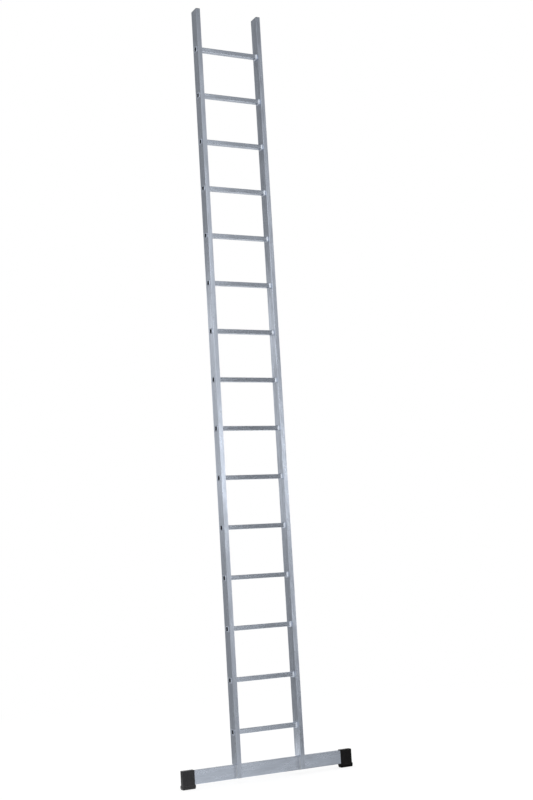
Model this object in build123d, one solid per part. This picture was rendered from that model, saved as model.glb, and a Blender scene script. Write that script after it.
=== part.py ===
"""Single section ladder with swaged rungs and a stabiliser bar on rubber feet.

Millimetres. X runs along the rungs, Y from the climber's side (front) to the wall, Z up the stiles.
The origin lies on the floor, midway between the two feet and in the middle plane of the stiles.
"""
import math
import os

from build123d import *

# Ladder layout
RUNG_COUNT = 15
RUNG_PITCH = 280.0
FIRST_RUNG_HEIGHT = 270.0
LADDER_HEIGHT = 4432.0
OUTER_WIDTH = 417.0

# Box extrusions of the stiles and of the stabiliser bar
SECTION_WIDTH = 26.0
STILE_DEPTH = 70.0
BAR_HEIGHT = 74.0
SECTION_CORNER = 1.5
SECTION_WEB = 1.3
SECTION_FLANGE = 2.0

# Rung tube and its swaged ends
RUNG_DEPTH = 31.0
RUNG_HEIGHT = 25.0
RUNG_CORNER = 3.0
RUNG_WALL = 1.6
RUNG_HOLE_CLEARANCE = 0.1
BEAD_RISE = 5.0
BEAD_STEP = 0.4
BEAD_LENGTH = 9.0
BEAD_CREST = 0.8
FLARE_RISE = 4.0
FLARE_THICKNESS = 3.0
MOUTH_RISE = 0.6

# Anti-slip tread along the top of each rung
TREAD_GROOVES = 6
TREAD_PITCH = 4.0
TREAD_WIDTH = 1.6
TREAD_DEPTH = 0.6

# Stabiliser bar, let into the rear of the stiles
BAR_LENGTH = 1036.0
BAR_SETBACK = 27.0
TONGUE_RAISE = 4.5

# Rubber feet on the ends of the bar
SOLE_HEIGHT = 22.0
SOLE_OVERHANG = 4.0
SOLE_CORNER = 8.0
SOLE_EDGE = 6.0
SOLE_EDGE_HEIGHT = 12.0
BOOT_GRIP = 67.0
BOOT_END_WALL = 5.0
BOOT_SIDE_WALL = 3.0
BOOT_TOP_WALL = 3.0
BOOT_CORNER = 4.0
BOOT_EDGE = 2.0
BOOT_CLEARANCE = 0.2
SOLE_GROOVES = 6
SOLE_GROOVE_PITCH = 9.0
SOLE_GROOVE_WIDTH = 4.0
SOLE_GROOVE_DEPTH = 3.0

# Plugs in the upper ends of the stiles
PLUG_FLANGE = 2.0
PLUG_SKIRT = 20.0
PLUG_WALL = 1.8
PLUG_CLEARANCE = 0.15
PLUG_RIBS = 2

# Bolts that hold the bar to the stiles
BOLT_DIAMETER = 8.0
BOLT_HOLE = 9.0
BOLT_HEAD_FLATS = 13.0
BOLT_HEAD_HEIGHT = 5.3
NUT_HEIGHT = 6.5
NUT_BORE = 8.2

# Places that follow from the sizes above
OUTER_FACE = OUTER_WIDTH / 2
INNER_FACE = OUTER_FACE - SECTION_WIDTH
STILE_X = OUTER_FACE - SECTION_WIDTH / 2
STILE_FRONT = -STILE_DEPTH / 2
STILE_TOP = LADDER_HEIGHT - PLUG_FLANGE
RUNG_END = OUTER_FACE + FLARE_THICKNESS
BAR_FRONT = STILE_FRONT + BAR_SETBACK
BAR_Y = BAR_FRONT + SECTION_WIDTH / 2
BAR_BACK = BAR_FRONT + SECTION_WIDTH
BAR_MID_HEIGHT = SOLE_HEIGHT + BAR_HEIGHT / 2
BAR_TOP = SOLE_HEIGHT + BAR_HEIGHT
TONGUE_BOTTOM = SOLE_HEIGHT + TONGUE_RAISE
RUNG_HEIGHTS = [FIRST_RUNG_HEIGHT + RUNG_PITCH * step for step in range(RUNG_COUNT)]
LEFT, RIGHT = -1, 1

# Leg of the straight corner cut that touches a rounding, per unit of its radius
CUT_PER_RADIUS = 2 - math.sqrt(2)


def box_section(depth, grow=0.0):
    """Outline of a box extrusion of a given depth, broad sides along local Y."""
    return RectangleRounded(SECTION_WIDTH + 2 * grow, depth + 2 * grow, SECTION_CORNER + grow)


def section_cavity(depth, shrink=0.0):
    """Outline of the hollow in a box extrusion of a given depth."""
    width = SECTION_WIDTH - 2 * (SECTION_WEB + shrink)
    return Rectangle(width, depth - 2 * (SECTION_FLANGE + shrink))


def box_tube(depth, length):
    """Box extrusion of a given depth, standing on the origin."""
    return extrude(box_section(depth) - section_cavity(depth), length)


def tube_outline(x):
    """Outline of the plain rung tube in the plane at x."""
    return Plane.YZ.offset(x) * RectangleRounded(RUNG_DEPTH, RUNG_HEIGHT, RUNG_CORNER)


def square_outline(x, grow=0.0):
    """Outline of the rung with sharp corners in the plane at x, offset outwards by grow."""
    return Plane.YZ.offset(x) * Rectangle(RUNG_DEPTH + 2 * grow, RUNG_HEIGHT + 2 * grow)


def swaged_outline(x, grow):
    """Outline of a swaged ring: the rung's outline offset by grow, with straight corner cuts."""
    outline = Rectangle(RUNG_DEPTH + 2 * grow, RUNG_HEIGHT + 2 * grow)
    return Plane.YZ.offset(x) * chamfer(outline.vertices(), CUT_PER_RADIUS * (RUNG_CORNER + grow))


def sloped(end, inset, length):
    """Block of a given end face, the face drawn in by inset all round over a length of its sides."""
    return chamfer(end.edges(), inset, length, reference=end)


def along_bolt(side, y_from, y_to, outline):
    """Solid of a given outline along the bolt axis of one stile, from y_from to y_to."""
    start = Plane(origin=(side * STILE_X, y_from, BAR_MID_HEIGHT), x_dir=(1, 0, 0), z_dir=(0, 1, 0))
    return extrude(start * outline, y_to - y_from)


def stile(side):
    """Stile: box extrusion with rung holes, cut back at the lower end to sit on the bar."""
    tube = Pos(0, 0, TONGUE_BOTTOM) * box_tube(STILE_DEPTH, STILE_TOP - TONGUE_BOTTOM)
    hole = extrude(square_outline(0, RUNG_HOLE_CLEARANCE), SECTION_WIDTH, both=True)
    tube -= [Pos(0, 0, height) * hole for height in RUNG_HEIGHTS]
    seat_depth = STILE_DEPTH - BAR_SETBACK
    seat = Box(SECTION_WIDTH, seat_depth, BAR_HEIGHT, align=(Align.CENTER, Align.MIN, Align.MIN))
    tube -= Pos(0, BAR_FRONT, SOLE_HEIGHT) * seat
    return Pos(side * STILE_X, 0, 0) * tube


def tread():
    """Plain stretch of rung between the stiles, grooved along its top."""
    tube = extrude(tube_outline(0), INNER_FACE, both=True)
    groove = Box(2 * INNER_FACE, TREAD_WIDTH, 2 * TREAD_DEPTH)
    places = GridLocations(0, TREAD_PITCH, 1, TREAD_GROOVES)
    return tube - [Pos(0, 0, RUNG_HEIGHT / 2) * place * groove for place in places]


def swaged_end():
    """Rung end: bead against the stile's inner wall, seat in its two holes, flared lip outside."""
    bead = extrude(swaged_outline(INNER_FACE - BEAD_LENGTH, BEAD_RISE), BEAD_LENGTH)
    bead = sloped(bead.faces().sort_by(Axis.X)[0], BEAD_RISE - BEAD_STEP, BEAD_LENGTH - BEAD_CREST)
    seat = extrude(square_outline(INNER_FACE), SECTION_WIDTH)
    lip = extrude(swaged_outline(OUTER_FACE, FLARE_RISE), FLARE_THICKNESS)
    return bead + seat + lip


def rung():
    """Rung: grooved tube, swaged at both ends, with an open bore that widens at its mouths."""
    end = swaged_end()
    bore = extrude(swaged_outline(0, -RUNG_WALL), RUNG_END, both=True)
    mouth_depth = RUNG_WALL + MOUTH_RISE
    mouth = extrude(swaged_outline(RUNG_END - mouth_depth, MOUTH_RISE), 2 * mouth_depth)
    mouth = sloped(mouth.faces().sort_by(Axis.X)[0], mouth_depth, mouth_depth)
    body = tread() + end + mirror(end, about=Plane.YZ)
    return body - bore - mouth - mirror(mouth, about=Plane.YZ)


def stabiliser_bar():
    """Bar: box extrusion laid across, with clearance holes for the bolts."""
    bar = Plane.YZ.offset(-BAR_LENGTH / 2) * box_tube(BAR_HEIGHT, BAR_LENGTH)
    bar = Pos(0, BAR_Y, BAR_MID_HEIGHT) * bar
    return bar - [along_bolt(side, BAR_FRONT, BAR_BACK, Circle(BOLT_HOLE / 2)) for side in (LEFT, RIGHT)]


def foot(side):
    """Foot: rubber boot with a pocket for the bar end and a lipped, grooved sole."""
    length = BOOT_GRIP + BOOT_END_WALL
    depth = SECTION_WIDTH + 2 * BOOT_SIDE_WALL
    boot = extrude(RectangleRounded(length, depth, BOOT_CORNER), BAR_TOP + BOOT_TOP_WALL)
    boot = sloped(boot.faces().sort_by(Axis.Z)[-1], BOOT_EDGE, BOOT_EDGE)
    sole_outline = RectangleRounded(length + 2 * SOLE_OVERHANG, depth + 2 * SOLE_OVERHANG, SOLE_CORNER)
    sole = extrude(sole_outline, SOLE_HEIGHT)
    sole = sloped(sole.faces().sort_by(Axis.Z)[0], SOLE_EDGE, SOLE_EDGE_HEIGHT)
    groove = Box(SOLE_GROOVE_WIDTH, 2 * depth, 2 * SOLE_GROOVE_DEPTH)
    sole -= [place * groove for place in GridLocations(SOLE_GROOVE_PITCH, 0, SOLE_GROOVES, 1)]
    centre = side * (BAR_LENGTH / 2 - BOOT_GRIP + length / 2)
    body = Pos(centre, BAR_Y, 0) * (boot + sole)
    pocket = Plane.YZ * extrude(box_section(BAR_HEIGHT, BOOT_CLEARANCE), BAR_LENGTH / 2, both=True)
    return body - Pos(0, BAR_Y, BAR_MID_HEIGHT) * pocket


def top_plug(side):
    """Plug: cover plate on the stile end with a ribbed skirt inside the box section."""
    plate = extrude(box_section(STILE_DEPTH), PLUG_FLANGE)
    skirt_outline = section_cavity(STILE_DEPTH, PLUG_CLEARANCE)
    skirt_outline -= section_cavity(STILE_DEPTH, PLUG_CLEARANCE + PLUG_WALL)
    skirt = extrude(skirt_outline, -PLUG_SKIRT)
    rib_length = SECTION_WIDTH - 2 * (SECTION_WEB + PLUG_CLEARANCE)
    rib_pitch = STILE_DEPTH / (PLUG_RIBS + 1)
    rib = Box(rib_length, PLUG_WALL, PLUG_SKIRT, align=(Align.CENTER, Align.CENTER, Align.MAX))
    ribs = [place * rib for place in GridLocations(0, rib_pitch, 1, PLUG_RIBS)]
    return Pos(side * STILE_X, 0, STILE_TOP) * (plate + skirt + ribs)


def stabiliser_bolts():
    """Hex bolts from the wall side, through the bar into the stile tongues."""
    tip = STILE_FRONT + SECTION_FLANGE
    head = RegularPolygon(BOLT_HEAD_FLATS / 2, 6, major_radius=False)
    bolts = []
    for side in (LEFT, RIGHT):
        shank = along_bolt(side, tip, BAR_BACK, Circle(BOLT_DIAMETER / 2))
        bolts.append(shank + along_bolt(side, BAR_BACK, BAR_BACK + BOLT_HEAD_HEIGHT, head))
    return Compound(children=bolts)


def stabiliser_nuts():
    """Press nuts on the inner side of the stile's front flange."""
    seat = STILE_FRONT + SECTION_FLANGE
    hexagon = RegularPolygon(BOLT_HEAD_FLATS / 2, 6, major_radius=False) - Circle(NUT_BORE / 2)
    return Compound(children=[along_bolt(side, seat, seat + NUT_HEIGHT, hexagon) for side in (LEFT, RIGHT)])


def ladder():
    """Every piece of the ladder by its node name."""
    pieces = {
        "left_stile": stile(LEFT),
        "right_stile": stile(RIGHT),
        "stabiliser_bar": stabiliser_bar(),
        "left_foot": foot(LEFT),
        "right_foot": foot(RIGHT),
        "left_top_plug": top_plug(LEFT),
        "right_top_plug": top_plug(RIGHT),
        "stabiliser_bolts": stabiliser_bolts(),
        "stabiliser_nuts": stabiliser_nuts(),
    }
    one_rung = rung()
    for number, height in enumerate(RUNG_HEIGHTS, start=1):
        pieces[f"rung_{number:02d}"] = Pos(0, 0, height) * one_rung
    return pieces


os.makedirs("parts", exist_ok=True)
for name, piece in ladder().items():
    export_step(piece, f"parts/{name}.step")
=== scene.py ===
"""Looks of a single section ladder: drawn aluminium stiles and bar, swaged rungs, rubber feet.

Metres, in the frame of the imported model: X along the rungs, Y from the climber to the wall, Z up.
"""

import logging
import math
from collections.abc import Sequence
from dataclasses import dataclass, field, replace
from enum import Enum
from itertools import pairwise
from typing import Any

import bmesh
import bpy
from mathutils import Matrix, Vector


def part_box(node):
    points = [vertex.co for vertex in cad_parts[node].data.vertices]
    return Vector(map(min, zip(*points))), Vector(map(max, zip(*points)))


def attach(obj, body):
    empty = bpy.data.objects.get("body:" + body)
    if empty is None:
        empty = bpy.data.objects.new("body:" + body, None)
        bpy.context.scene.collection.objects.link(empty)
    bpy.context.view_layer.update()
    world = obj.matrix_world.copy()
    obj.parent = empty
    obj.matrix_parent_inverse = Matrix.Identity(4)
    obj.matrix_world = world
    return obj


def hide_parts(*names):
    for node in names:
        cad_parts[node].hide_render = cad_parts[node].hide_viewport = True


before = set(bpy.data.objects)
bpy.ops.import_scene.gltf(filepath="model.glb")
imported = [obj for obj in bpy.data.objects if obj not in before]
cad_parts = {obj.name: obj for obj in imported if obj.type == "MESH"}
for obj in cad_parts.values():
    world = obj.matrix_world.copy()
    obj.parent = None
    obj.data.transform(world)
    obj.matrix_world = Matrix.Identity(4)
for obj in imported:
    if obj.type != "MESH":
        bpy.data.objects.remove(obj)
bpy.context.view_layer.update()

LOG = logging.getLogger("ladder")
BODY = "root"
BAR_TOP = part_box("stabiliser_bar")[1][2]
MM = 0.001
MERGE_DISTANCE = 1e-7
SMOOTH_BELOW = math.radians(34.0)
FLAT_FACE_WEIGHT = 100
CORNER_STEPS = 6
ARC_STEPS = 5
HEX_SIDES = 6
RED_LOSS, BLUE_GAIN = 0.085, 0.145
# Vertex marks on the rungs: painted shade in the tread grooves and the bore, and frost with a painted
# highlight on the beads.
PAINTED_SHADE, FROST_AND_GLINT = "painted_shade", "frost"
ALONG_X = Matrix(((0, 0, 1, 0), (1, 0, 0, 0), (0, 1, 0, 0), (0, 0, 0, 1)))

Colour = tuple[float, float, float, float]
Place = tuple[float, float, float]
Pair = tuple[float, float]
Socket = bpy.types.NodeSocket


class Side(Enum):
    """The ladder's two sides, as the climber sees them."""

    LEFT = -1
    RIGHT = 1

    def named(self, piece: str) -> str:
        """Name of a piece on this side."""
        return f"{self.name.lower()}_{piece}"


class DrawnAlong(Enum):
    """Axis that an extrusion was drawn along, which its die lines follow."""

    X = "X"
    Z = "Z"

    @property
    def turn(self) -> Place:
        """Rotation that lays this axis on the Z axis of a pattern."""
        return (0.0, math.radians(90.0), 0.0) if self is DrawnAlong.X else (0.0, 0.0, 0.0)


class ToolUse(Enum):
    """What a tool does to a piece."""

    CUT = "DIFFERENCE"
    TRIM = "INTERSECT"
    WELD = "UNION"


def grey_blue(level: float, tint: float = 1.0) -> Colour:
    """Cool grey, linear, whose green channel is level and whose blue cast is as strong as tint."""
    return (level * (1.0 - RED_LOSS * tint), level, level * (1.0 + BLUE_GAIN * tint), 1.0)


class NodeBoard:
    """Lays nodes into one node tree and wires them up."""

    def __init__(self, tree: bpy.types.NodeTree) -> None:
        """Keep the tree that the nodes go into."""
        self.tree = tree

    @classmethod
    def emptied(cls, owner: bpy.types.Material | bpy.types.World) -> "NodeBoard":
        """Start the nodes of a material or world afresh.

        Args:
            owner: The material or world.

        Returns:
            Board of its emptied node tree.
        """
        owner.use_nodes = True
        owner.node_tree.nodes.clear()
        return cls(owner.node_tree)

    def add(self, kind: str, inputs: dict[str | int, Any] | None = None, **settings: Any) -> bpy.types.Node:
        """Add one node.

        Args:
            kind: Type of the node, without its ShaderNode prefix.
            inputs: Values, or sockets to link from, by the input's name or number.
            settings: Properties to set on the node.

        Returns:
            The new node.
        """
        node = self.tree.nodes.new(f"ShaderNode{kind}")
        for name, value in settings.items():
            setattr(node, name, value)
        self.wire(node, inputs or {})
        return node

    def wire(self, node: bpy.types.Node, inputs: dict[str | int, Any]) -> None:
        """Give a node its inputs.

        Args:
            node: The node.
            inputs: Values, or sockets to link from, by the input's name or number.
        """
        for key, value in inputs.items():
            if isinstance(value, bpy.types.NodeSocket):
                self.tree.links.new(value, node.inputs[key])
            else:
                node.inputs[key].default_value = value

    def place(self, pattern: "Pattern", inputs: dict[str, Any]) -> bpy.types.NodeOutputs:
        """Outputs of a pattern group that is placed with these values or sockets."""
        return self.add("Group", inputs, node_tree=pattern.tree).outputs

    def math(self, operation: str, first: Any, second: Any = 0.0, third: Any = 0.0) -> Socket:
        """Result of one arithmetic step on up to three numbers or sockets."""
        return self.add("Math", {0: first, 1: second, 2: third}, operation=operation).outputs[0]

    def blend(self, share: Any, first: Any, second: Any) -> Socket:
        """Colour between first, at share 0, and second, at share 1."""
        return self.add("Mix", {0: share, 6: first, 7: second}, data_type="RGBA").outputs[2]

    def ramp(self, value: Any, low: float, high: float, start: float = 0.0, end: float = 1.0) -> Socket:
        """Smooth step from start, where the value is low, to end, where it is high."""
        limits = {"Value": value, "From Min": low, "From Max": high, "To Min": start, "To Max": end}
        return self.add("MapRange", limits, interpolation_type="SMOOTHSTEP").outputs["Result"]

    def noise(self, vector: Socket, scale: float, detail: float, roughness: float = 0.5) -> Socket:
        """Grey noise of a given scale and fineness."""
        inputs = {"Vector": vector, "Scale": scale, "Detail": detail, "Roughness": roughness}
        return self.add("TexNoise", inputs).outputs["Fac"]


class Pattern:
    """A shader node group with named sockets, built once and placed in each material that uses it."""

    def __init__(
        self, name: str, numbers: dict[str, float], vectors: Sequence[str], results: Sequence[str],
    ) -> None:
        """Make an empty group.

        Args:
            name: Name of the group.
            numbers: Number inputs with their default values.
            vectors: Names of the vector inputs.
            results: Names of the outputs.
        """
        self.tree = bpy.data.node_groups.new(name, "ShaderNodeTree")
        for label in vectors:
            self.tree.interface.new_socket(label, in_out="INPUT", socket_type="NodeSocketVector")
        for label, value in numbers.items():
            socket = self.tree.interface.new_socket(label, in_out="INPUT", socket_type="NodeSocketFloat")
            socket.default_value = value
        for label in results:
            self.tree.interface.new_socket(label, in_out="OUTPUT", socket_type="NodeSocketFloat")
        self.board = NodeBoard(self.tree)
        self.given = self.tree.nodes.new("NodeGroupInput").outputs
        self.end = self.tree.nodes.new("NodeGroupOutput")

    def scaled(self, along: float = 1.0) -> Socket:
        """Scale the Vector input by the Scale input.

        Args:
            along: Factor by which the Z part is scaled besides.

        Returns:
            Socket with the scaled vector.
        """
        board = self.board
        across = self.given["Scale"]
        factors = board.add("CombineXYZ", {0: across, 1: across, 2: board.math("MULTIPLY", across, along)})
        parts = {0: self.given["Vector"], 1: factors.outputs[0]}
        return board.add("VectorMath", parts, operation="MULTIPLY").outputs[0]

    def put_out(self, **results: Socket) -> "Pattern":
        """The group itself, once its outputs are wired."""
        self.board.wire(self.end, results)
        return self


class Patterns:
    """The surface effects that the ladder's finishes share."""

    def __init__(self) -> None:
        """Build every group."""
        self.die_lines = self._die_lines()
        self.mottle = self._mottle()
        self.corner_wear_and_sheen = self._corner_wear_and_sheen()
        self.mould_grain = self._mould_grain()
        self.dust = self._dust()

    @staticmethod
    def _die_lines() -> Pattern:
        """Fine lines that a die leaves along an extrusion, broken up over its length.

        Returns:
            The group.
        """
        pattern = Pattern("die_lines", {"Scale": 900.0}, ["Vector"], ["Lines", "Bands"])
        board = pattern.board
        fine = board.noise(pattern.scaled(along=0.002), scale=1.0, detail=3.0, roughness=0.65)
        broad = board.noise(pattern.scaled(along=0.004), scale=0.12, detail=2.0)
        lines, bands = (board.ramp(value, low=0.3, high=0.7) for value in (fine, broad))
        return pattern.put_out(Lines=lines, Bands=bands)

    @staticmethod
    def _mottle() -> Pattern:
        """Soft blotches of oxide, and sparse dull smudges from handling.

        Returns:
            The group.
        """
        pattern = Pattern("oxide_mottle", {"Scale": 60.0}, ["Vector"], ["Blotches", "Smudges"])
        board = pattern.board
        blotches = board.noise(pattern.scaled(along=0.12), scale=1.0, detail=4.0, roughness=0.6)
        smudges = board.noise(pattern.scaled(along=0.35), scale=0.16, detail=5.0, roughness=0.62)
        blotches = board.ramp(blotches, low=0.28, high=0.72)
        smudges = board.ramp(smudges, low=0.54, high=0.74)
        return pattern.put_out(Blotches=blotches, Smudges=smudges)

    @staticmethod
    def _corner_wear_and_sheen() -> Pattern:
        """Mask of the rounded corners, whose normal follows none of the axes.

        Returns:
            The group.
        """
        pattern = Pattern("corner_wear_and_sheen", {"Start": 0.995, "Full": 0.9}, ["Normal"], ["Mask"])
        board = pattern.board
        size = board.add("VectorMath", {0: pattern.given["Normal"]}, operation="ABSOLUTE").outputs[0]
        parts = board.add("SeparateXYZ", {0: size}).outputs
        largest = board.math("MAXIMUM", board.math("MAXIMUM", parts[0], parts[1]), parts[2])
        limits = {"Value": largest, "From Min": pattern.given["Start"], "From Max": pattern.given["Full"]}
        return pattern.put_out(Mask=board.add("MapRange", limits).outputs["Result"])

    @staticmethod
    def _mould_grain() -> Pattern:
        """Fine pebbled skin of a moulding.

        Returns:
            The group.
        """
        pattern = Pattern("mould_grain", {"Scale": 1400.0}, ["Vector"], ["Height", "Speckle"])
        board = pattern.board
        vector = pattern.scaled()
        cells = board.add("TexVoronoi", {"Vector": vector, "Scale": 1.0}).outputs["Distance"]
        height = board.math("MULTIPLY", cells, board.noise(vector, scale=0.35, detail=3.0))
        speckle = board.noise(vector, scale=0.09, detail=4.0, roughness=0.7)
        return pattern.put_out(Height=height, Speckle=board.ramp(speckle, low=0.35, high=0.7))

    @staticmethod
    def _dust() -> Pattern:
        """Mask of settled dust: patchy, and thickest on faces that look up.

        Returns:
            The group.
        """
        pattern = Pattern("settled_dust", {"Scale": 60.0, "Amount": 0.5}, ["Vector", "Normal"], ["Mask"])
        board = pattern.board
        upward = board.add("SeparateXYZ", {0: pattern.given["Normal"]}).outputs[2]
        upward = board.ramp(upward, low=-0.3, high=1.0, start=0.25)
        patches = board.noise(pattern.scaled(), scale=1.0, detail=6.0, roughness=0.68)
        patches = board.ramp(patches, low=0.36, high=0.78)
        cover = board.math("MULTIPLY", upward, patches)
        return pattern.put_out(Mask=board.math("MULTIPLY", cover, pattern.given["Amount"]))


class Finish:
    """A procedural material on a Principled shader."""

    @staticmethod
    def start(name: str) -> tuple[bpy.types.Material, NodeBoard, bpy.types.Node]:
        """Start a material.

        Args:
            name: Name of the material.

        Returns:
            The material, its board, and its shader node.
        """
        material = bpy.data.materials.new(name)
        material.use_nodes = True
        board = NodeBoard(material.node_tree)
        return material, board, material.node_tree.nodes["Principled BSDF"]

    @staticmethod
    def coordinates(board: NodeBoard, turn: Place = (0.0, 0.0, 0.0)) -> Socket:
        """Object coordinates, turned so that a pattern runs along the piece."""
        place = board.add("TexCoord").outputs["Object"]
        return board.add("Mapping", {"Vector": place, "Rotation": turn}).outputs["Vector"]

    @staticmethod
    def bump(board: NodeBoard, height: Socket, depth: float, strength: float) -> Socket:
        """Normal with a relief of this height, 0 to 1, and depth in metres, shown at this strength."""
        relief = {"Height": height, "Distance": depth, "Strength": strength}
        return board.add("Bump", relief).outputs["Normal"]


@dataclass(frozen=True)
class MillAluminium(Finish):
    """Drawn aluminium from the mill: die lines, oxide streaks, and corners brightened, partly as handling
    wear and partly as a painted highlight.
    """

    name: str
    drawn: DrawnAlong
    clean: Colour = grey_blue(0.66)
    dull: Colour = grey_blue(0.54)
    smudge: Colour = grey_blue(0.40, 0.8)
    # Painted highlight on the rounded corners, partly real handling wear.
    rubbed_sheen: Colour = grey_blue(0.75)
    # Painted highlight on the swaged beads, together with their real frosting.
    frosted: Colour = grey_blue(0.82, 0.8)
    # Painted shade in the tread grooves and the bore.
    painted_shade: Colour = grey_blue(0.07, 0.3)
    # Lighter colour of the tongue sides: partly the milled face, partly painted light.
    milled_and_lit: Colour = grey_blue(0.88, 0.0)
    milled_below: float = 0.0
    milled_fade: float = 2.0 * MM
    milled_facing: Pair = (0.8, 0.95)
    streak_scale: float = 60.0
    band_share: float = 0.25
    smudge_share: float = 0.55
    rubbed_sheen_share: float = 0.6
    roughness: float = 0.30
    roughness_swing: float = 0.10
    smudge_roughness: float = 0.1
    frost_roughness: float = 0.14
    painted_shade_roughness: float = 0.3
    anisotropy: float = 0.75
    line_depth: float = 0.02 * MM
    line_strength: float = 0.35

    def milled_and_lit_end(self, board: NodeBoard, place: Socket, normal: Socket) -> Socket:
        """Mask of the sides of an end that was milled to take the bar; the colour it brings in is partly the
        milled face and partly painted light that lifts these sides out of their shade.

        Args:
            board: Board of the material.
            place: Object coordinates.
            normal: Normal of the surface.

        Returns:
            Socket with the mask.
        """
        height = board.add("SeparateXYZ", {0: place}).outputs[2]
        low = board.ramp(height, self.milled_below, self.milled_below + self.milled_fade, start=1.0, end=0.0)
        sideways = board.math("ABSOLUTE", board.add("SeparateXYZ", {0: normal}).outputs[0])
        return board.math("MULTIPLY", low, board.ramp(sideways, *self.milled_facing))

    def swage_marks(self, board: NodeBoard, colour: Socket, rough: Socket) -> tuple[Socket, Socket]:
        """Lay the marks of swaging over the metal: frost with a painted highlight where it stretched, and
        painted shade in the tread grooves and the bore.

        Args:
            board: Board of the material.
            colour: Colour without the marks.
            rough: Roughness without the marks.

        Returns:
            Colour and roughness with the marks.
        """
        marks = [board.add("Attribute", attribute_name=name) for name in (FROST_AND_GLINT, PAINTED_SHADE)]
        frost, painted_shade = (mark.outputs["Fac"] for mark in marks)
        # Painted highlight on the beads, then painted shade in the grooves and the bore.
        colour = board.blend(painted_shade, board.blend(frost, colour, self.frosted), self.painted_shade)
        rough = board.math("MULTIPLY_ADD", frost, self.frost_roughness, rough)
        return colour, board.math("MULTIPLY_ADD", painted_shade, self.painted_shade_roughness, rough)

    def material(self, patterns: Patterns, swaged: bool = False) -> bpy.types.Material:
        """Build the material.

        Args:
            patterns: The shared surface effects.
            swaged: Whether the piece carries the swage marks: painted shade, and frost with a painted
                highlight.

        Returns:
            The finished material.
        """
        material, board, shader = self.start(self.name)
        place = self.coordinates(board, self.drawn.turn)
        normal = board.add("NewGeometry").outputs["Normal"]
        lines = board.place(patterns.die_lines, {"Vector": place})
        mottle = board.place(patterns.mottle, {"Vector": place, "Scale": self.streak_scale})
        corners = board.place(patterns.corner_wear_and_sheen, {"Normal": normal})["Mask"]
        wear = board.math("MULTIPLY", mottle["Blotches"], 1.0 - self.band_share)
        wear = board.math("MULTIPLY_ADD", lines["Bands"], self.band_share, wear)
        smudges = board.math("MULTIPLY", mottle["Smudges"], self.smudge_share)
        # Painted highlight along the rounded corners, partly real handling wear.
        rubbed_sheen_mask = board.math("MULTIPLY", corners, self.rubbed_sheen_share)
        colour = board.blend(wear, self.clean, self.dull)
        colour = board.blend(smudges, colour, self.smudge)
        colour = board.blend(rubbed_sheen_mask, colour, self.rubbed_sheen)
        # Painted light on the milled tongue sides, partly the milled face itself.
        if self.milled_below:
            colour = board.blend(self.milled_and_lit_end(board, place, normal), colour, self.milled_and_lit)
        smoothest = self.roughness - self.roughness_swing / 2
        rough = board.math("MULTIPLY_ADD", wear, self.roughness_swing, smoothest)
        rough = board.math("MULTIPLY_ADD", mottle["Smudges"], self.smudge_roughness, rough)
        if swaged:
            colour, rough = self.swage_marks(board, colour, rough)
        tangent = board.add("Tangent", direction_type="RADIAL", axis=self.drawn.value)
        board.wire(shader, {
            "Base Color": colour, "Roughness": rough, "Metallic": 1.0, "Anisotropic": self.anisotropy,
            "Tangent": tangent.outputs["Tangent"],
            "Normal": self.bump(board, lines["Lines"], self.line_depth, self.line_strength),
        })
        return material


@dataclass(frozen=True)
class MouldedPolymer(Finish):
    """Dark moulded rubber or plastic with a pebbled skin, scuffs and settled dust."""

    name: str
    deep: Colour
    scuffed: Colour
    dust: Colour = (0.20, 0.195, 0.185, 1.0)
    specular: float = 0.5
    roughness: float = 0.40
    speckle_roughness: float = 0.12
    dust_roughness: float = 0.3
    corner_scuffs: float = 0.5
    speckle_scuffs: float = 0.5
    grain_scale: float = 1400.0
    grain_depth: float = 0.12 * MM
    grain_strength: float = 0.5
    dust_amount: float = 0.10

    def material(self, patterns: Patterns) -> bpy.types.Material:
        """Build the material.

        Args:
            patterns: The shared surface effects.

        Returns:
            The finished material.
        """
        material, board, shader = self.start(self.name)
        place = self.coordinates(board)
        normal = board.add("NewGeometry").outputs["Normal"]
        grain = board.place(patterns.mould_grain, {"Vector": place, "Scale": self.grain_scale})
        corners = board.place(patterns.corner_wear_and_sheen, {"Normal": normal})["Mask"]
        settled = {"Vector": place, "Normal": normal, "Amount": self.dust_amount}
        dust = board.place(patterns.dust, settled)["Mask"]
        scuffs = board.math("MULTIPLY", grain["Speckle"], self.speckle_scuffs)
        scuffs = board.math("MULTIPLY_ADD", corners, self.corner_scuffs, scuffs)
        colour = board.blend(scuffs, self.deep, self.scuffed)
        colour = board.blend(dust, colour, self.dust)
        rough = board.math("MULTIPLY_ADD", grain["Speckle"], self.speckle_roughness, self.roughness)
        rough = board.math("MULTIPLY_ADD", dust, self.dust_roughness, rough)
        board.wire(shader, {
            "Base Color": colour, "Roughness": rough, "Specular IOR Level": self.specular,
            "Normal": self.bump(board, grain["Height"], self.grain_depth, self.grain_strength),
        })
        return material


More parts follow.
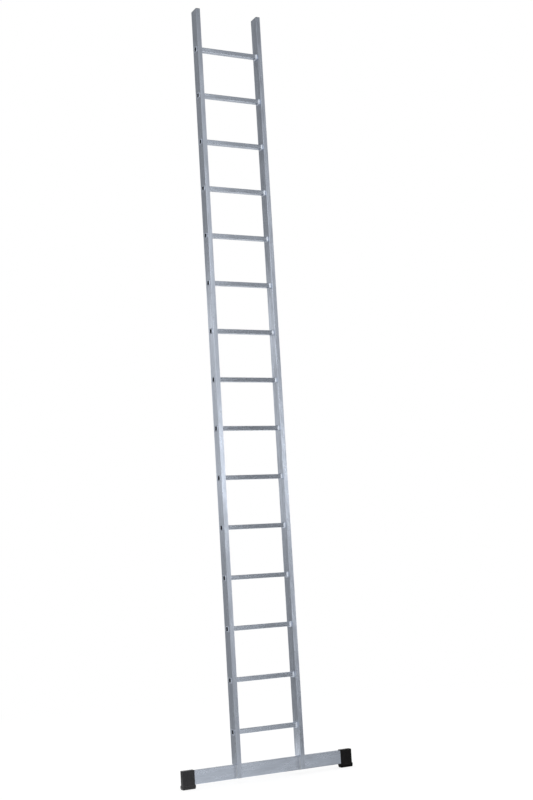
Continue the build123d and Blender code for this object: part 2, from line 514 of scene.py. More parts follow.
@dataclass(frozen=True)
class ZincPlate(Finish):
    """Bright zinc plated steel with a faintly cloudy passivation."""

    name: str
    bright: Colour = (0.62, 0.62, 0.60, 1.0)
    cloudy: Colour = (0.40, 0.41, 0.40, 1.0)
    roughness: float = 0.28
    cloud_scale: float = 160.0
    cloud_roughness: float = 0.18
    stain_depth: float = 0.03 * MM
    stain_strength: float = 0.3

    def material(self, patterns: Patterns) -> bpy.types.Material:
        """Build the material.

        Args:
            patterns: The shared surface effects.

        Returns:
            The finished material.
        """
        material, board, shader = self.start(self.name)
        place = self.coordinates(board)
        mottle = board.place(patterns.mottle, {"Vector": place, "Scale": self.cloud_scale})
        clouds = mottle["Blotches"]
        board.wire(shader, {
            "Base Color": board.blend(clouds, self.bright, self.cloudy),
            "Roughness": board.math("MULTIPLY_ADD", clouds, self.cloud_roughness, self.roughness),
            "Metallic": 1.0,
            "Normal": self.bump(board, mottle["Smudges"], self.stain_depth, self.stain_strength),
        })
        return material


@dataclass(frozen=True)
class Station:
    """One ring of a sweep.

    Attributes:
        along: Place of the ring along the sweep.
        grow: Offset of the ring outwards from the outline.
        groove: Share of the tread grooves' depth that the ring has.
        painted_shade: How much painted shade the ring carries, in the tread grooves and the bore.
        frost: How far stretching frosted its metal, on all sides but the grooved one; its colour is also a
            painted highlight.
        lining: Whether the ring belongs to the lining of the bore.
    """

    along: float
    grow: float
    groove: float = 0.0
    painted_shade: float = 0.0
    frost: float = 0.0
    lining: bool = False

    def mirrored(self) -> "Station":
        """The same ring on the other side of the middle."""
        return replace(self, along=-self.along)


def arc(
    centre: Pair, radius: float, span: Pair, steps: int = ARC_STEPS, stretch: float = 1.0,
) -> list[Station]:
    """Stations along an arc in the plane of along and grow.

    Args:
        centre: Centre of the arc.
        radius: Radius of the arc in the direction of grow.
        span: Angles of the first and last station in degrees, 0 towards along and 90 towards grow.
        steps: Number of steps from first to last.
        stretch: Radius in the direction of along, as a share of the other.

    Returns:
        The stations, both ends included.
    """
    start, end = span
    stations = []
    for step in range(steps + 1):
        angle = math.radians(start + (end - start) * step / steps)
        along = centre[0] + radius * stretch * math.cos(angle)
        stations.append(Station(along, centre[1] + radius * math.sin(angle)))
    return stations


def marked(stations: Sequence[Station], **marks: Any) -> list[Station]:
    """The same stations with some of their marks set."""
    return [replace(station, **marks) for station in stations]


@dataclass
class RoundedSweep:
    """Sweeps a rounded rectangle along Z, ring by ring.

    Attributes:
        width: Size of the outline along X.
        depth: Size of the outline along Y.
        corner: Radius of its corners.
        grooves: Centres along X of grooves in its +Y side.
        groove_width: Width of a groove at its floor.
        groove_depth: Depth of a groove.
        groove_flank: Width of a groove's sloping sides.
        least_corner: Smallest radius that a shrunken ring's corners keep.
        bm: The body, which the sweep fills.
    """

    width: float
    depth: float
    corner: float
    grooves: Sequence[float] = ()
    groove_width: float = 0.0
    groove_depth: float = 0.0
    groove_flank: float = 0.0
    least_corner: float = 0.2 * MM
    bm: bmesh.types.BMesh = field(default_factory=bmesh.new)

    def outline(self) -> list[bmesh.types.BMEdge]:
        """Draw the outline, and keep each vertex's place in a layer.

        Returns:
            Edges of the outline.
        """
        verts = bmesh.ops.create_grid(self.bm, x_segments=1, y_segments=1, size=0.5)["verts"]
        bmesh.ops.scale(self.bm, vec=(self.width, self.depth, 1.0), verts=verts)
        bmesh.ops.bevel(
            self.bm, geom=verts, offset=self.corner, offset_type="OFFSET", segments=CORNER_STEPS,
            profile=0.5, affect="VERTICES", material=-1,
        )
        bmesh.ops.delete(self.bm, geom=self.bm.faces[:], context="FACES_ONLY")
        self.cut_grooves()
        layer = self.bm.verts.layers.float_vector.new("outline")
        for vert in self.bm.verts:
            vert[layer] = vert.co
        return self.bm.edges[:]

    def cut_grooves(self) -> None:
        """Divide the +Y side of the outline at the flanks of each groove."""
        half = self.groove_width / 2
        for centre in self.grooves:
            for flank in (-half - self.groove_flank, -half, half, half + self.groove_flank):
                geometry = self.bm.verts[:] + self.bm.edges[:]
                upper = [part for part in geometry if self.on_top(part)]
                bmesh.ops.bisect_plane(
                    self.bm, geom=upper, plane_co=(centre + flank, 0.0, 0.0), plane_no=(1.0, 0.0, 0.0),
                )

    @staticmethod
    def on_top(part: bmesh.types.BMVert | bmesh.types.BMEdge) -> bool:
        """Whether a vertex or edge lies on the +Y half of the outline."""
        verts = part.verts if isinstance(part, bmesh.types.BMEdge) else [part]
        return all(vert.co.y > 0.0 for vert in verts)

    def sink(self, place: Vector) -> float:
        """Find how far a point of the outline sinks into a groove.

        Args:
            place: The point.

        Returns:
            Share of the groove depth, 1 on a groove's floor.
        """
        if place.y < self.depth / 2 - MERGE_DISTANCE:
            return 0.0
        reach = self.groove_width / 2 + MERGE_DISTANCE
        return float(any(abs(place.x - centre) <= reach for centre in self.grooves))

    def set_ring(self, verts: Sequence[bmesh.types.BMVert], station: Station) -> None:
        """Move a ring's vertices to a station and mark them.

        Args:
            verts: Vertices of the ring.
            station: Where the ring goes.
        """
        layer = self.bm.verts.layers.float_vector["outline"]
        painted_shade, frost = (self.bm.verts.layers.float[mark] for mark in (PAINTED_SHADE, FROST_AND_GLINT))
        core = Vector((self.width / 2 - self.corner, self.depth / 2 - self.corner))
        radius = max(self.corner + station.grow, self.least_corner)
        shrink = radius - self.corner - station.grow
        for vert in verts:
            place = vert[layer].xy
            inner = Vector((max(-core.x, min(core.x, place.x)), max(-core.y, min(core.y, place.y))))
            outward = (place - inner).normalized()
            inner.x *= 1.0 - shrink / core.x
            inner.y *= 1.0 - shrink / core.y
            sunk = self.sink(vert[layer]) * station.groove
            vert.co = (*(inner + outward * (radius - sunk * self.groove_depth)), station.along)
            # Painted shade in the groove floors and the bore; frost with a painted highlight on the front,
            # back and underside.
            vert[painted_shade] = max(station.painted_shade, sunk)
            vert[frost] = station.frost * max(abs(outward.x), -outward.y)

    def sweep(self, stations: Sequence[Station], closed: bool) -> bmesh.types.BMesh:
        """Sweep the outline through the stations.

        Args:
            stations: Rings in order.
            closed: Whether the last ring joins the first; otherwise both ends are capped.

        Returns:
            The swept body, its normals outwards.
        """
        for mark in (PAINTED_SHADE, FROST_AND_GLINT):
            self.bm.verts.layers.float.new(mark)
        first = ring = self.outline()
        self.set_ring(self.bm.verts[:], stations[0])
        rings = [*stations, stations[0]] if closed else stations
        for before, station in pairwise(rings):
            made = bmesh.ops.extrude_edge_only(self.bm, edges=ring)["geom"]
            verts = [part for part in made if isinstance(part, bmesh.types.BMVert)]
            fresh = set(verts)
            edges = [part for part in made if isinstance(part, bmesh.types.BMEdge)]
            ring = [edge for edge in edges if fresh.issuperset(edge.verts)]
            for face in (part for part in made if isinstance(part, bmesh.types.BMFace)):
                face.material_index = int(before.lining and station.lining)
            self.set_ring(verts, station)
        if not closed:
            bmesh.ops.edgeloop_fill(self.bm, edges=first)
            bmesh.ops.edgeloop_fill(self.bm, edges=ring)
        self.bm.verts.layers.float_vector.remove(self.bm.verts.layers.float_vector["outline"])
        bmesh.ops.remove_doubles(self.bm, verts=self.bm.verts[:], dist=MERGE_DISTANCE)
        bmesh.ops.recalc_face_normals(self.bm, faces=self.bm.faces[:])
        return self.bm


class Workshop:
    """Turns bmesh bodies into finished pieces on the ladder."""

    @classmethod
    def body(cls, bm: bmesh.types.BMesh, name: str) -> bpy.types.Object:
        """Object of a bmesh, smooth within roundings and sharp at edges.

        Args:
            bm: The bmesh, which is used up.
            name: Name of the object and its mesh.

        Returns:
            The object.
        """
        for face in bm.faces:
            face.smooth = True
        for edge in bm.edges:
            edge.smooth = edge.calc_face_angle(math.pi) < SMOOTH_BELOW
        mesh = bpy.data.meshes.new(name)
        bm.to_mesh(mesh)
        bm.free()
        return cls.show(mesh, name)

    @staticmethod
    def show(mesh: bpy.types.Mesh, name: str) -> bpy.types.Object:
        """Put a mesh in the scene, at the origin.

        Args:
            mesh: The mesh.
            name: Name of its object.

        Returns:
            The object.
        """
        piece = bpy.data.objects.new(name, mesh)
        bpy.context.scene.collection.objects.link(piece)
        return piece

    @staticmethod
    def unwrap(piece: bpy.types.Object) -> bpy.types.Mesh:
        """Take the mesh out of a helper object.

        Args:
            piece: The object, which is removed.

        Returns:
            Its mesh.
        """
        mesh = piece.data
        bpy.data.objects.remove(piece)
        return mesh

    @staticmethod
    def settle(piece: bpy.types.Object) -> None:
        """Apply an object's modifiers and clear them.

        Args:
            piece: The object.
        """
        rough = piece.data
        graph = bpy.context.evaluated_depsgraph_get()
        evaluated = piece.evaluated_get(graph)
        mesh = bpy.data.meshes.new_from_object(evaluated, preserve_all_data_layers=True, depsgraph=graph)
        piece.data = mesh
        piece.modifiers.clear()
        piece.data.name = piece.name
        bpy.data.meshes.remove(rough)

    @classmethod
    def shape(
        cls, piece: bpy.types.Object, tools: Sequence[bpy.types.Object], use: ToolUse = ToolUse.CUT,
    ) -> None:
        """Shape a piece with tools, which are used up.

        Args:
            piece: The piece.
            tools: Closed bodies.
            use: What each tool does to the piece.
        """
        for tool in tools:
            modifier = piece.modifiers.new(tool.name, "BOOLEAN")
            modifier.object = tool
            modifier.operation = use.value
            modifier.solver = "EXACT"
        cls.settle(piece)
        for tool in tools:
            bpy.data.meshes.remove(cls.unwrap(tool))

    @classmethod
    def true_normals(cls, piece: bpy.types.Object) -> None:
        """Keep flat faces flat where they run into a rounding.

        Args:
            piece: The piece.
        """
        modifier = piece.modifiers.new("flat_faces", "WEIGHTED_NORMAL")
        modifier.keep_sharp = True
        modifier.weight = FLAT_FACE_WEIGHT
        cls.settle(piece)

    @staticmethod
    def fit(piece: bpy.types.Object, node: str, slot: str, *materials: bpy.types.Material) -> None:
        """Give a piece its finish and put it in the place of a CAD node.

        Args:
            piece: The finished piece.
            node: CAD node that it stands for.
            slot: Material slot of the record; not used.
            materials: Its finishes, by the faces' material number.
        """
        while piece.data.materials:
            piece.data.materials.pop()
        for material in materials:
            piece.data.materials.append(material)
        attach(piece, BODY)
        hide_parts(node)
        LOG.info("%s stands for %s, %d faces", piece.name, node, len(piece.data.polygons))

    @staticmethod
    def dress(node: str, material: bpy.types.Material) -> None:
        """Give a CAD node its finish.

        Args:
            node: The node.
            material: Its finish.
        """
        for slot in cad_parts[node].material_slots:
            slot.material = material
        LOG.info("%s wears %s", node, material.name)


def box_corners(node: str) -> tuple[Vector, Vector]:
    """Lower and upper corner of a CAD node's box."""
    low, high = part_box(node)
    return Vector(low), Vector(high)


def middle(node: str) -> Vector:
    """Centre of a CAD node's box."""
    low, high = box_corners(node)
    return (low + high) / 2


@dataclass
class Extrusions:
    """The two stiles and the stabiliser bar, all of one box section."""

    left_finish: MillAluminium = MillAluminium(
        "left_stile_mill_aluminium", DrawnAlong.Z, clean=grey_blue(0.68), dull=grey_blue(0.52),
        milled_below=BAR_TOP,
    )
    right_finish: MillAluminium = MillAluminium(
        "right_stile_mill_aluminium", DrawnAlong.Z, clean=grey_blue(0.75), dull=grey_blue(0.45),
        milled_below=BAR_TOP, streak_scale=90.0,
    )
    bar_finish: MillAluminium = MillAluminium("bar_mill_aluminium", DrawnAlong.X, band_share=0.08)

    def build(self, patterns: Patterns) -> None:
        """Dress the stiles and the bar.

        Args:
            patterns: The shared surface effects.
        """
        for side, finish in zip(Side, (self.left_finish, self.right_finish)):
            Workshop.dress(side.named("stile"), finish.material(patterns))
        Workshop.dress("stabiliser_bar", self.bar_finish.material(patterns))


@dataclass
class Rungs:
    """Tubes swaged into the stiles: a bead inside, a rolled lip outside, a grooved tread on top."""

    count: int = 15
    depth: float = 31.0 * MM
    height: float = 25.0 * MM
    corner: float = 3.0 * MM
    wall: float = 1.6 * MM
    bead_rise: float = 5.0 * MM
    bead_length: float = 9.0 * MM
    bead_sweep: float = 1.7
    bead_round: float = 0.8 * MM
    bead_steps: int = 6
    flare_rise: float = 4.0 * MM
    mouth_round: float = 2.2 * MM
    lining_start: int = 2
    tread_grooves: int = 6
    tread_pitch: float = 4.0 * MM
    tread_floor: float = 1.2 * MM
    tread_flank: float = 0.3 * MM
    tread_depth: float = 0.6 * MM
    tread_runout: float = 1.0 * MM
    # Painted shade inside the bore.
    bore_painted_shade: float = 0.65
    finish: MillAluminium = MillAluminium(
        "rung_mill_aluminium", DrawnAlong.X, clean=grey_blue(0.77), dull=grey_blue(0.52), roughness=0.26,
        streak_scale=120.0,
    )
    bore_finish: MillAluminium = MillAluminium(
        "rung_bore_aluminium", DrawnAlong.X, roughness=0.58, anisotropy=0.0, line_depth=0.0,
    )

    def bead(self, inner: float) -> list[Station]:
        """Rings of the bead that stands against a stile.

        Args:
            inner: Place of the stile's inner face.

        Returns:
            Stations from the foot of the bead to its shoulder.
        """
        foot = inner - self.bead_length
        steepest = math.degrees(math.atan2(self.bead_sweep * self.bead_rise, self.bead_length))
        centre = (inner - self.bead_round, self.bead_rise - self.bead_round)
        shoulder = arc(centre, self.bead_round, (90.0 + steepest, 0.0))
        crown = shoulder[0]
        rise = []
        for step in range(self.bead_steps):
            share = step / self.bead_steps
            rise.append(Station(foot + (crown.along - foot) * share, crown.grow * share**self.bead_sweep))
        # The whole bead carries frost with a painted highlight.
        return marked([*rise, *shoulder], frost=1.0)

    def mouth(self, outer: float, end: float) -> list[Station]:
        """Rings of the lip that is rolled over a stile, and of the mouth inside it.

        Args:
            outer: Place of the stile's outer face.
            end: Place of the rung's end.

        Returns:
            Stations from the lip's outer edge to the bore.
        """
        crest = self.mouth_round - self.wall
        lip = self.flare_rise - crest
        rim = arc((outer, crest), lip, (90.0, 0.0), 2 * ARC_STEPS, (end - outer) / lip)
        bell = arc((end - self.mouth_round, crest), self.mouth_round, (0.0, -90.0))
        throat = marked(bell[self.lining_start:], lining=True)
        # The bore's ring carries painted shade.
        bore = replace(throat.pop(), painted_shade=self.bore_painted_shade)
        return [*rim, *bell[:self.lining_start], *throat, bore]

    def half(self) -> list[Station]:
        """Rings of one half of a rung.

        Returns:
            Stations from the tread over bead and lip into the mouth.
        """
        stile_low, stile_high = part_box("right_stile")
        inner, outer = stile_low[0], stile_high[0]
        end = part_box("rung_01")[1][0]
        bead = self.bead(inner)
        tread = Station(bead[0].along - self.tread_runout, 0.0, groove=1.0)
        return [tread, *bead, Station(inner, 0.0), Station(outer, 0.0), *self.mouth(outer, end)]

    def grooves(self) -> list[float]:
        """Places of the tread grooves across the rung."""
        first = -(self.tread_grooves - 1) / 2 * self.tread_pitch
        return [first + self.tread_pitch * step for step in range(self.tread_grooves)]

    def blank(self) -> bpy.types.Mesh:
        """Make the mesh that every rung is a copy of.

        Returns:
            One rung along X, centred on the origin.
        """
        section = RoundedSweep(
            self.depth, self.height, self.corner, self.grooves(),
            self.tread_floor, self.tread_depth, self.tread_flank,
        )
        half = self.half()
        bm = section.sweep([*(station.mirrored() for station in reversed(half)), *half], closed=True)
        bmesh.ops.transform(bm, matrix=ALONG_X, verts=bm.verts[:])
        piece = Workshop.body(bm, "rung_blank")
        Workshop.true_normals(piece)
        return Workshop.unwrap(piece)

    def build(self, patterns: Patterns) -> None:
        """Set a copy of the rung at the place of each rung node.

        Args:
            patterns: The shared surface effects.
        """
        materials = [finish.material(patterns, swaged=True) for finish in (self.finish, self.bore_finish)]
        blank = self.blank()
        for number in range(1, self.count + 1):
            node = f"rung_{number:02d}"
            mesh = blank.copy()
            mesh.transform(Matrix.Translation(middle(node)))
            mesh.name = f"swaged_{node}"
            Workshop.fit(Workshop.show(mesh, mesh.name), node, "rung_aluminium", *materials)
        bpy.data.meshes.remove(blank)


@dataclass
class Feet:
    """Rubber boots on the ends of the bar, each with a lipped and grooved sole."""

    overhang: float = 4.0 * MM
    sole_edge: float = 6.0 * MM
    sole_stretch: float = 2.2
    lip_round: float = 2.6 * MM
    lip_stretch: float = 1.7
    root_round: float = 1.2 * MM
    top_round: float = 2.5 * MM
    corner: float = 4.0 * MM
    clearance: float = 0.2 * MM
    section_corner: float = 1.5 * MM
    grooves: int = 6
    groove_pitch: float = 9.0 * MM
    groove_width: float = 4.0 * MM
    groove_depth: float = 3.0 * MM
    # Lit and shaded copies of one rubber: the left boot's colour is painted lighter and the right boot's
    # painted darker, for how light falls on each.
    lit_finish: MouldedPolymer = MouldedPolymer(
        "foot_rubber_lit_copy", deep=(0.028, 0.028, 0.030, 1.0), scuffed=(0.056, 0.056, 0.060, 1.0),
        specular=0.3,
    )
    shaded_finish: MouldedPolymer = MouldedPolymer(
        "foot_rubber_shaded_copy", deep=(0.004, 0.004, 0.0045, 1.0), scuffed=(0.009, 0.009, 0.0095, 1.0),
        specular=0.15,
    )

    def profile(self, sole: float, top: float) -> list[Station]:
        """Side profile of a boot from its sole up.

        Args:
            sole: Height of the sole.
            top: Height of the boot.

        Returns:
            Stations along Z.
        """
        edge = (self.sole_edge * self.sole_stretch, self.overhang - self.sole_edge)
        lip = (sole - self.lip_round * self.lip_stretch, self.overhang - self.lip_round)
        return [
            *arc(edge, self.sole_edge, (180.0, 90.0), stretch=self.sole_stretch),
            *arc(lip, self.lip_round, (90.0, 0.0), stretch=self.lip_stretch),
            *arc((sole + self.root_round, self.root_round), self.root_round, (180.0, 270.0)),
            *arc((top - self.top_round, -self.top_round), self.top_round, (90.0, 0.0)),
        ]

    def pocket(self, side: Side) -> bpy.types.Object:
        """Tool in the shape of half the bar, a little thicker all round.

        Args:
            side: Which half of the bar.

        Returns:
            The tool.
        """
        low, high = box_corners("stabiliser_bar")
        size = high - low
        section = RoundedSweep(
            size.y + 2 * self.clearance, size.z + 2 * self.clearance, self.section_corner + self.clearance,
        )
        bm = section.sweep([Station(0.0, 0.0), Station(size.x / 2, 0.0)], closed=False)
        bmesh.ops.transform(bm, matrix=ALONG_X, verts=bm.verts[:])
        if side is Side.LEFT:
            bmesh.ops.rotate(bm, matrix=Matrix.Rotation(math.pi, 3, "Z"), verts=bm.verts[:])
        bmesh.ops.translate(bm, vec=(0.0, (low.y + high.y) / 2, (low.z + high.z) / 2), verts=bm.verts[:])
        return Workshop.body(bm, "pocket_tool")

    def sole_grooves(self, centre: Vector, reach: float) -> bpy.types.Object:
        """Tool that cuts the grooves across a sole.

        Args:
            centre: Middle of the foot.
            reach: Length of a groove.

        Returns:
            One object with all the bars of the tool.
        """
        bm = bmesh.new()
        size = Matrix.Diagonal((self.groove_width, reach, 2 * self.groove_depth, 1.0))
        first = centre.x - (self.grooves - 1) / 2 * self.groove_pitch
        for step in range(self.grooves):
            place = Matrix.Translation((first + step * self.groove_pitch, centre.y, 0.0))
            bmesh.ops.create_cube(bm, size=1.0, matrix=place @ size)
        return Workshop.body(bm, "groove_tool")

    def boot(self, side: Side) -> bpy.types.Object:
        """One boot, with its pocket and its sole grooves.

        Args:
            side: The boot's side of the ladder.

        Returns:
            The boot.
        """
        low, high = box_corners(side.named("foot"))
        centre = (low + high) / 2
        length = high.x - low.x - 2 * self.overhang
        depth = high.y - low.y - 2 * self.overhang
        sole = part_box("stabiliser_bar")[0][2]
        bm = RoundedSweep(length, depth, self.corner).sweep(self.profile(sole, high.z), closed=False)
        bmesh.ops.translate(bm, vec=(centre.x, centre.y, 0.0), verts=bm.verts[:])
        piece = Workshop.body(bm, side.named("rubber_boot"))
        Workshop.shape(piece, [self.pocket(side), self.sole_grooves(centre, 2 * depth)])
        return piece

    def build(self, patterns: Patterns) -> None:
        """Make both feet.

        Args:
            patterns: The shared surface effects.
        """
        # The left boot wears the painted lit copy, the right the painted shaded copy.
        for side, finish in zip(Side, (self.lit_finish, self.shaded_finish)):
            piece = self.boot(side)
            Workshop.true_normals(piece)
            Workshop.fit(piece, side.named("foot"), "foot_rubber", finish.material(patterns))


@dataclass
class TopPlugs:
    """Plastic plugs in the upper ends of the stiles."""

    corner: float = 1.5 * MM
    edge: float = 0.9 * MM
    shoulder: float = 2.2 * MM
    wall: float = 1.8 * MM
    finish: MouldedPolymer = MouldedPolymer(
        "plug_plastic_grey", deep=(0.05, 0.051, 0.053, 1.0), scuffed=(0.10, 0.10, 0.10, 1.0),
        roughness=0.42, grain_depth=0.06 * MM, dust_amount=0.3,
    )

    def plug(self, side: Side) -> bpy.types.Object:
        """One plug: a cover plate with rounded edges on a hollow skirt.

        Args:
            side: The plug's side of the ladder.

        Returns:
            The plug.
        """
        low, high = box_corners(side.named("top_plug"))
        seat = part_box(side.named("stile"))[1][2]
        inner = -self.shoulder - self.wall
        stations = [
            Station(seat, inner), Station(low.z, inner), Station(low.z, -self.shoulder),
            Station(seat, -self.shoulder), Station(seat, 0.0),
            *arc((high.z - self.edge, -self.edge), self.edge, (90.0, 0.0)),
        ]
        bm = RoundedSweep(high.x - low.x, high.y - low.y, self.corner).sweep(stations, closed=False)
        centre = (low + high) / 2
        bmesh.ops.translate(bm, vec=(centre.x, centre.y, 0.0), verts=bm.verts[:])
        return Workshop.body(bm, side.named("end_plug"))

    def build(self, patterns: Patterns) -> None:
        """Make both plugs.

        Args:
            patterns: The shared surface effects.
        """
        material = self.finish.material(patterns)
        for side in Side:
            piece = self.plug(side)
            Workshop.true_normals(piece)
            Workshop.fit(piece, side.named("top_plug"), "plug_plastic", material)


@dataclass
class BarBolts:
    """Hex bolts through the bar into the stiles, with their press nuts."""

    diameter: float = 8.0 * MM
    flats: float = 13.0 * MM
    head: float = 5.3 * MM
    collar: float = 0.5 * MM
    collar_share: float = 0.94
    crown_share: float = 0.93
    crown_slope: float = 30.0
    segments: int = 48
    finish: ZincPlate = ZincPlate("bolt_zinc")

    def rod(self, name: str, sides: int, radii: Pair, span: Pair) -> bpy.types.Object:
        """Straight or tapered rod along Z.

        Args:
            name: Name of the object.
            sides: Number of its sides.
            radii: Radius at its start and at its end.
            span: Where it starts and ends.

        Returns:
            The rod as an object.
        """
        bm = bmesh.new()
        bmesh.ops.create_cone(
            bm, cap_ends=True, segments=sides, radius1=radii[0], radius2=radii[1], depth=span[1] - span[0],
            matrix=Matrix.Translation((0.0, 0.0, (span[0] + span[1]) / 2)),
        )
        return Workshop.body(bm, name)

    def bolt(self, shank: float) -> bpy.types.Mesh:
        """One bolt along Z with the underside of its head at the origin.

        Args:
            shank: Length of the shank.

        Returns:
            The bolt's mesh.
        """
        corner = self.flats / 2 / math.cos(math.pi / HEX_SIDES)
        crown = self.flats / 2 * self.crown_share
        spread = crown + (self.head + corner) / math.tan(math.radians(self.crown_slope))
        piece = self.rod("bolt_blank", HEX_SIDES, (corner, corner), (self.collar, self.head))
        cone = self.rod("crown_tool", self.segments, (spread, crown), (-corner, self.head))
        Workshop.shape(piece, [cone], ToolUse.TRIM)
        radius = self.flats / 2 * self.collar_share
        collar = self.rod("collar", self.segments, (radius, radius), (0.0, 2 * self.collar))
        radius = self.diameter / 2
        stem = self.rod("stem", self.segments, (radius, radius), (-shank, self.head / 2))
        Workshop.shape(piece, [collar, stem], ToolUse.WELD)
        return Workshop.unwrap(piece)

    def build(self, patterns: Patterns) -> None:
        """Make the bolts and dress the nuts.

        Args:
            patterns: The shared surface effects.
        """
        material = self.finish.material(patterns)
        low, high = box_corners("stabiliser_bolts")
        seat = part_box("stabiliser_bar")[1][1]
        blank = self.bolt(seat - low.y)
        bm = bmesh.new()
        for side in Side:
            place = Matrix.Translation((middle(side.named("stile")).x, seat, (low.z + high.z) / 2))
            copy = blank.copy()
            copy.transform(place @ Matrix.Rotation(math.radians(-90.0), 4, "X"))
            bm.from_mesh(copy)
            bpy.data.meshes.remove(copy)
        bpy.data.meshes.remove(blank)
        piece = Workshop.body(bm, "bar_hex_bolts")
        Workshop.fit(piece, "stabiliser_bolts", "zinc_steel", material)
        Workshop.dress("stabiliser_nuts", material)


@dataclass
class Viewpoint:
    """The camera: in front of the ladder, to its left, looking slightly up."""

    place: Place = (-3.1882, -6.5970, 1.1994)
    yaw: float = 26.626
    pitch: float = 7.064
    roll: float = -3.409
    focal_pixels: float = 1285.36
    image_height: int = 800
    sensor: float = 36.0

    def build(self) -> None:
        """Set up the camera and make it the scene's own."""
        yaw, pitch, roll = (math.radians(angle) for angle in (self.yaw, self.pitch, self.roll))
        turn = Matrix.Rotation(-yaw, 4, "Z") @ Matrix.Rotation(math.pi / 2 + pitch, 4, "X")
        turn = turn @ Matrix.Rotation(roll, 4, "Z")
        data = bpy.data.cameras.new("viewpoint")
        data.sensor_width = self.sensor
        data.lens = self.focal_pixels / self.image_height * self.sensor
        camera = bpy.data.objects.new("viewpoint", data)
        camera.matrix_world = Matrix.Translation(self.place) @ turn
        bpy.context.scene.collection.objects.link(camera)
        bpy.context.scene.camera = camera


@dataclass(frozen=True)
class Panel:
    """A flat rectangle in the studio: a lamp, or a board to be mirrored.

    Attributes:
        name: Its name.
        place: Its centre.
        aim: Point that it faces.
        size: Its width and height.
        level: Brightness of its face.
    """

    name: str
    place: Place
    aim: Place
    size: Pair
    level: float

    def stand(self) -> Matrix:
        """Matrix that puts a panel at its place, with its -Z axis towards its aim."""
        facing = (Vector(self.aim) - Vector(self.place)).to_track_quat("-Z", "Y")
        return Matrix.Translation(self.place) @ facing.to_matrix().to_4x4()


@dataclass(frozen=True)
class Lamp(Panel):
    """A soft area lamp."""

    def build(self) -> None:
        """Hang the lamp."""
        data = bpy.data.lights.new(self.name, "AREA")
        data.shape = "RECTANGLE"
        data.size, data.size_y = self.size
        data.energy = self.level * math.pi * self.size[0] * self.size[1]
        lamp = bpy.data.objects.new(self.name, data)
        lamp.matrix_world = self.stand()
        lamp.visible_camera = False
        bpy.context.scene.collection.objects.link(lamp)


@dataclass(frozen=True)
class ReflectionBoard(Panel):
    """A grey board that shows only in reflections, as a flag or a ceiling does in a studio.

    Attributes:
        turn: Angle in degrees by which it is turned about its own axis.
    """

    turn: float = 0.0

    @classmethod
    def lying(
        cls, name: str, place: Place, size: Pair, level: float, turn: float = 0.0,
    ) -> "ReflectionBoard":
        """A board that lies level, as a mat or a ceiling does."""
        return cls(name, place, (*place[:2], place[2] - 1.0), size, level, turn)

    def build(self) -> None:
        """Stand the board in the studio."""
        bm = bmesh.new()
        bmesh.ops.create_grid(bm, x_segments=1, y_segments=1, size=0.5)
        matrix = self.stand() @ Matrix.Rotation(math.radians(self.turn), 4, "Z")
        matrix = matrix @ Matrix.Diagonal((*self.size, 1.0, 1.0))
        bmesh.ops.transform(bm, matrix=matrix, verts=bm.verts[:])
        board = Workshop.body(bm, self.name)
        board.visible_camera = False
        board.visible_diffuse = False
        board.visible_transmission = False
        board.visible_shadow = False
        material = bpy.data.materials.new(self.name)
        nodes = NodeBoard.emptied(material)
        glow = nodes.add("Emission", {"Color": (self.level, self.level, self.level, 1.0)})
        nodes.add("OutputMaterial", {"Surface": glow.outputs[0]})
        board.data.materials.append(material)


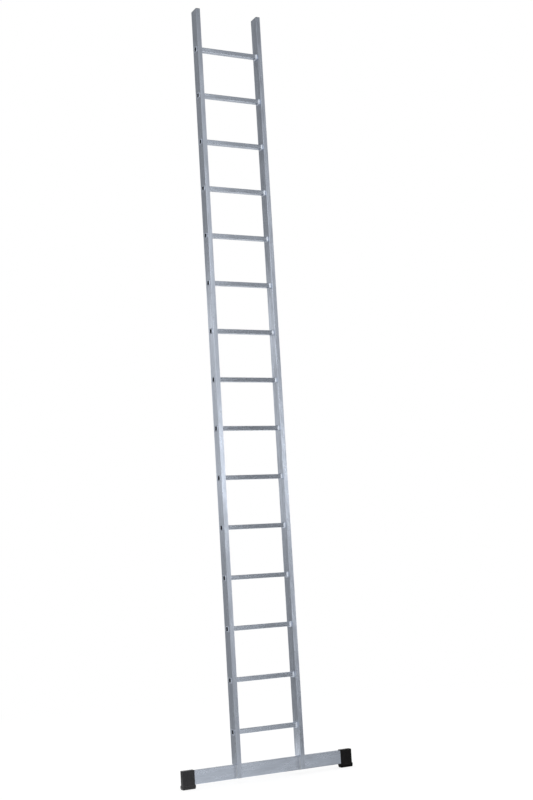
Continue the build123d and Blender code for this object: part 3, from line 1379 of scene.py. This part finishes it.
@dataclass
class Studio:
    """White floor and surround, soft lamps, and the boards that the metal mirrors."""

    floor_size: float = 120.0
    floor_glow: float = 0.80
    floor_colour: float = 0.30
    shadow_radius: float = 1.6
    white_radius: float = 4.5
    ambient: float = 0.75
    lamps: Sequence[Lamp] = (
        Lamp("left_softbox", (-4.9, -6.4, 4.2), (0.0, 0.0, 2.6), (4.6, 3.0), 1.0),
        Lamp("front_softbox", (1.0, -4.9, 2.05), (0.0, 0.0, 1.75), (1.4, 1.0), 2.6),
    )
    boards: Sequence[ReflectionBoard] = (
        ReflectionBoard.lying("rear_ceiling", (0.0, 7.7, 6.5), (40.0, 16.4), 0.33),
        ReflectionBoard.lying("front_ceiling", (10.0, -8.3, 6.5), (20.0, 15.6), 0.30),
        ReflectionBoard("rear_left_ramp", (-4.3, 5.3, 0.86), (-3.9, 4.4, 6.0), (9.0, 10.0), 0.34),
        ReflectionBoard("rear_left_board", (-4.6, 9.0, 3.0), (0.0, 0.0, 2.0), (9.0, 2.2), 0.66),
        ReflectionBoard("rear_strip", (-5.4, 12.0, 5.2), (0.0, 0.0, 3.0), (10.0, 0.5), 1.1),
        ReflectionBoard.lying("rear_left_mat", (-1.0, 1.2, 0.004), (1.1, 2.0), 0.30),
        ReflectionBoard.lying("rear_right_mat", (4.2, 7.9, 0.004), (5.0, 3.6), 0.06),
        ReflectionBoard("left_front_board", (-5.6, -7.4, 0.4), (0.0, 0.0, 0.4), (10.0, 1.6), 0.15),
        ReflectionBoard("left_board", (-7.0, -2.2, 4.2), (0.0, 0.0, 4.2), (7.0, 2.4), 1.0),
        ReflectionBoard("left_card", (-4.6, -4.4, 2.4), (0.0, 0.0, 2.0), (3.0, 1.9), 1.1),
        ReflectionBoard.lying("left_ceiling", (-2.9, -4.3, 6.5), (7.0, 5.0), 0.55),
        ReflectionBoard("front_bounce", (1.0, -4.95, 3.6), (0.0, 0.0, 2.8), (1.5, 2.0), 1.45),
        ReflectionBoard("front_upper", (1.25, -4.95, 5.5), (0.0, 0.0, 3.6), (1.6, 1.6), 1.0),
        ReflectionBoard("front_cove", (2.7, -4.95, 4.6), (0.0, 0.0, 3.2), (1.7, 0.9), 0.58),
        ReflectionBoard("centre_flag", (-0.36, -5.0, 2.3), (0.0, 0.0, 2.3), (1.3, 2.4), 0.25),
        ReflectionBoard("front_flag", (2.8, -4.15, 2.45), (0.0, 0.0, 2.45), (2.3, 3.1), 0.26),
        ReflectionBoard("right_card", (3.0, -3.7, 2.15), (0.0, 0.0, 2.0), (1.15, 1.2), 1.3),
        ReflectionBoard("middle_flag", (1.75, -4.1, 2.55), (0.0, 0.0, 2.0), (0.6, 1.3), 0.01),
        ReflectionBoard.lying("front_mat", (6.25, -5.2, 0.003), (8.0, 14.0), 0.09, 20.0),
        ReflectionBoard.lying("side_mat", (0.55, -3.9, 0.002), (1.0, 3.0), 0.05, 12.0),
        ReflectionBoard.lying("left_mat", (-1.8, -2.3, 0.002), (3.2, 2.8), 0.35),
        ReflectionBoard.lying("front_left_mat", (-0.9, -0.9, 0.004), (1.9, 1.7), 0.62),
        ReflectionBoard.lying("front_near_mat", (0.35, -0.9, 0.004), (0.6, 1.7), 0.58),
        ReflectionBoard.lying("right_mat", (2.7, -1.0, 0.004), (2.4, 5.6), 1.2, 34.0),
        ReflectionBoard.lying("foot_mat", (1.0, -0.8, 0.005), (0.7, 1.5), 0.02),
    )

    @staticmethod
    def seen(board: NodeBoard) -> Socket:
        """Tell what is seen from what only gives light.

        Args:
            board: Board of the floor or the surround.

        Returns:
            1 for what the camera sees itself, mirrored or through glass, 0 for light on the object.
        """
        path = board.add("LightPath").outputs
        direct = board.math("MAXIMUM", path["Is Camera Ray"], path["Is Glossy Ray"])
        return board.math("MAXIMUM", direct, path["Is Transmission Ray"])

    def surround(self) -> None:
        """White surround that lights the object less than it shows."""
        world = bpy.data.worlds.new("white_surround")
        board = NodeBoard.emptied(world)
        strength = board.math("MULTIPLY_ADD", self.seen(board), 1.0 - self.ambient, self.ambient)
        white = board.add("Background", {"Color": (1.0, 1.0, 1.0, 1.0), "Strength": strength})
        board.add("OutputWorld", {"Surface": white.outputs[0]})
        bpy.context.scene.world = world

    def floor(self) -> None:
        """White floor that keeps the ladder's shadow and fades into the surround."""
        bm = bmesh.new()
        bmesh.ops.create_grid(bm, x_segments=1, y_segments=1, size=self.floor_size / 2)
        floor = Workshop.body(bm, "floor")
        material = bpy.data.materials.new("floor_white")
        board = NodeBoard.emptied(material)
        place = board.add("TexCoord").outputs["Object"]
        distance = board.add("VectorMath", {0: place}, operation="LENGTH").outputs["Value"]
        far = board.ramp(distance, self.shadow_radius, self.white_radius)
        albedo = board.blend(far, (*(self.floor_colour,) * 3, 1.0), (0.0, 0.0, 0.0, 1.0))
        glow = board.math("MULTIPLY_ADD", far, 1.0 - self.floor_glow, self.floor_glow)
        light = board.add("Emission", {"Strength": board.math("MULTIPLY", glow, self.seen(board))})
        matt = board.add("BsdfDiffuse", {"Color": albedo})
        both = board.add("AddShader", {0: light.outputs[0], 1: matt.outputs[0]})
        board.add("OutputMaterial", {"Surface": both.outputs[0]})
        floor.data.materials.append(material)

    def build(self) -> None:
        """Set up the whole studio."""
        self.surround()
        self.floor()
        for panel in (*self.lamps, *self.boards):
            panel.build()
        bpy.context.scene.view_settings.view_transform = "Standard"


def main() -> None:
    """Build the ladder's pieces in order, then the studio around it."""
    logging.basicConfig(level=logging.INFO, format="%(name)s: %(message)s")
    patterns = Patterns()
    for assembly in (Extrusions(), Rungs(), Feet(), TopPlugs(), BarBolts()):
        LOG.info("building %s", type(assembly).__name__)
        assembly.build(patterns)
    Viewpoint().build()
    Studio().build()


if __name__ == "__main__":
    main()
